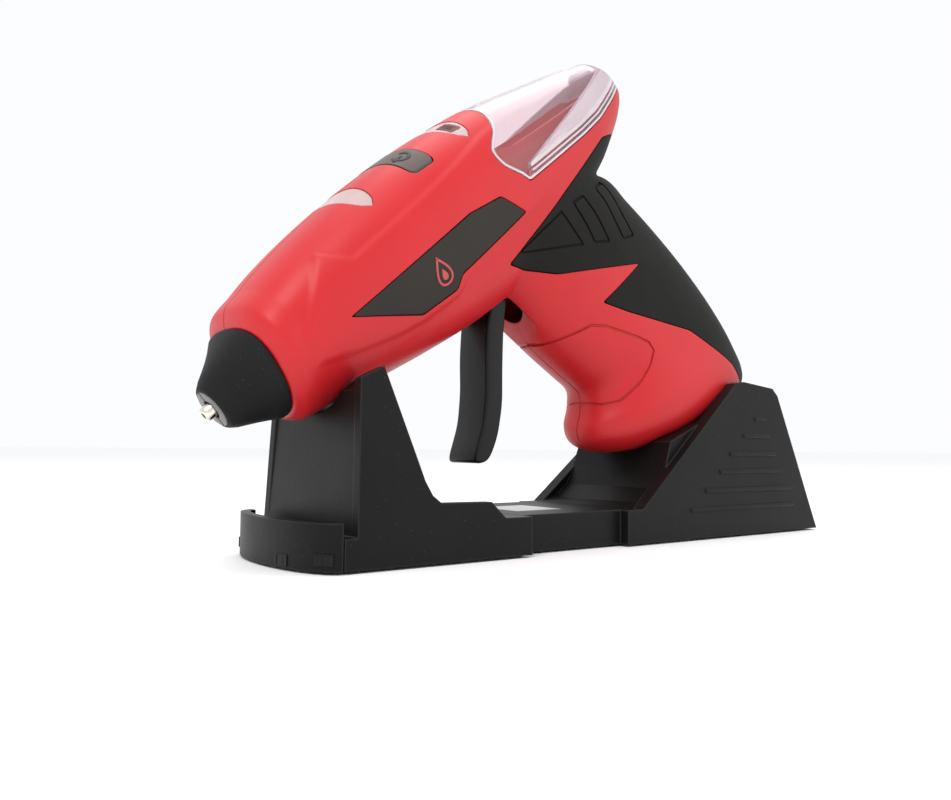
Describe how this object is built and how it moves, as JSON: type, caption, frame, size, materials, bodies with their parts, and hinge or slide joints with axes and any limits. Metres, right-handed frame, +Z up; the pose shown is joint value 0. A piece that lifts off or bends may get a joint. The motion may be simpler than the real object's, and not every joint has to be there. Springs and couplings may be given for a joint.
{
  "type": "cordless hot-melt glue gun in its charging stand",
  "caption": "Cordless hot-melt glue gun with a trigger feed and a clear stick cover, lying nose down in a charging stand with a drip tray",
  "frame": {"origin": "On the surface that the stand stands on, below the middle of the whole length from the nozzle guard's nose to the stand's rear edge, on the plane of symmetry.", "axes": "+X runs from the nozzle to the rear of the stand, +Z is up, and +Y is the gun's right-hand side. The barrel points forward and down, 40 degrees below the horizontal."},
  "size_m": [0.1922, 0.047, 0.1352],
  "materials": {
    "red_plastic": "satin injection-moulded shell",
    "soft_black": "matte soft-touch moulding with a fine speckle",
    "inlay_grey": "fine matte texture",
    "clear_plastic": "clear moulding with a faint pink tint",
    "button_grey": "satin",
    "nickel": "bright nickel plate",
    "aluminium": "cast, lightly turned",
    "white_plastic": "heat-resistant, slightly off white",
    "spring_steel": "zinc-plated",
    "silicone": "translucent matte",
    "black_plastic": "fine eroded texture",
    "board_green": "solder mask",
    "cell_wrap": "shrink-wrapped",
    "label_silver": "silver foil label, left blank"
  },
  "bodies": {
    "stand": {"front_rest": "black_plastic", "cradle": "black_plastic", "base_plate": "black_plastic", "label_plate": "label_silver", "charger_board": "board_green", "charging_jack": "black_plastic", "foot_1": "soft_black", "foot_2": "soft_black", "foot_3": "soft_black", "foot_4": "soft_black", "stand_screw_1": "spring_steel", "stand_screw_2": "spring_steel", "stand_screw_3": "spring_steel", "stand_screw_4": "spring_steel"},
    "tray": {"drip_tray": "black_plastic"},
    "pin_left": {"charge_pin_left": "nickel"},
    "pin_right": {"charge_pin_right": "nickel"},
    "gun": {"housing_left": "red_plastic", "housing_right": "red_plastic", "grip_left": "soft_black", "grip_right": "soft_black", "inlay_left": "inlay_grey", "inlay_right": "inlay_grey", "stick_cover": "clear_plastic", "front_window": "clear_plastic", "rear_window": "clear_plastic", "nozzle_guard": "soft_black", "nozzle_tip": "nickel", "melt_chamber": "aluminium", "heater_plate": "white_plastic", "heater_clip": "spring_steel", "stick_sleeve": "silicone", "sleeve_clip": "spring_steel", "return_spring": "spring_steel", "trigger_pin": "spring_steel", "control_board": "board_green", "button_switch": "black_plastic", "front_led": "white_plastic", "rear_led": "white_plastic", "battery_cell": "cell_wrap", "battery_tab_top": "nickel", "battery_tab_bottom": "nickel", "charge_contact_left": "nickel", "charge_contact_right": "nickel", "housing_screw_1": "spring_steel", "housing_screw_2": "spring_steel", "housing_screw_3": "spring_steel", "housing_screw_4": "spring_steel", "housing_screw_5": "spring_steel"},
    "trigger_lever": {"trigger": "black_plastic"},
    "feed_carriage": {"carriage": "white_plastic", "jaw_pin": "spring_steel"},
    "jaw": {"clamp_jaw": "spring_steel"},
    "button": {"power_button": "button_grey"}
  },
  "joints": [
    {"name": "gun_lift", "type": "slide", "parent": "stand", "child": "gun", "axis": [0, 0, 1], "range_m": [0, 0.15]},
    {"name": "trigger_pull", "type": "hinge", "parent": "gun", "child": "trigger_lever", "pos_m": [-0.02171, 0, 0.06949], "axis": [0, -1, 0], "range_deg": [0, 24], "stiffness_Nm_per_rad": 0.05},
    {"name": "carriage_feed", "type": "slide", "parent": "gun", "child": "feed_carriage", "axis": [-0.766, 0, -0.6428], "range_m": [0, 0.0049], "deforming": ["return_spring"]},
    {"name": "jaw_grip", "type": "hinge", "parent": "feed_carriage", "child": "jaw", "pos_m": [-0.03095, 0, 0.07427], "axis": [0, 1, 0], "range_deg": [0, 8]},
    {"name": "button_press", "type": "slide", "parent": "gun", "child": "button", "axis": [0.6428, 0, -0.766], "range_m": [0, 0.0006], "stiffness_N_per_m": 100},
    {"name": "tray_pull", "type": "slide", "parent": "stand", "child": "tray", "axis": [-1, 0, 0], "range_m": [0, 0.03]},
    {"name": "pin_press_left", "type": "slide", "parent": "stand", "child": "pin_left", "axis": [0.373, 0, -0.9278], "range_m": [0, 0.001], "stiffness_N_per_m": 100},
    {"name": "pin_press_right", "type": "slide", "parent": "stand", "child": "pin_right", "axis": [0.373, 0, -0.9278], "range_m": [0, 0.001], "stiffness_N_per_m": 100}
  ],
  "couplings": [
    {"joint": "carriage_feed", "follows": "trigger_pull", "m_per_rad": 0.0117},
    {"joint": "jaw_grip", "follows": "trigger_pull", "ratio": 0.333}
  ]
}
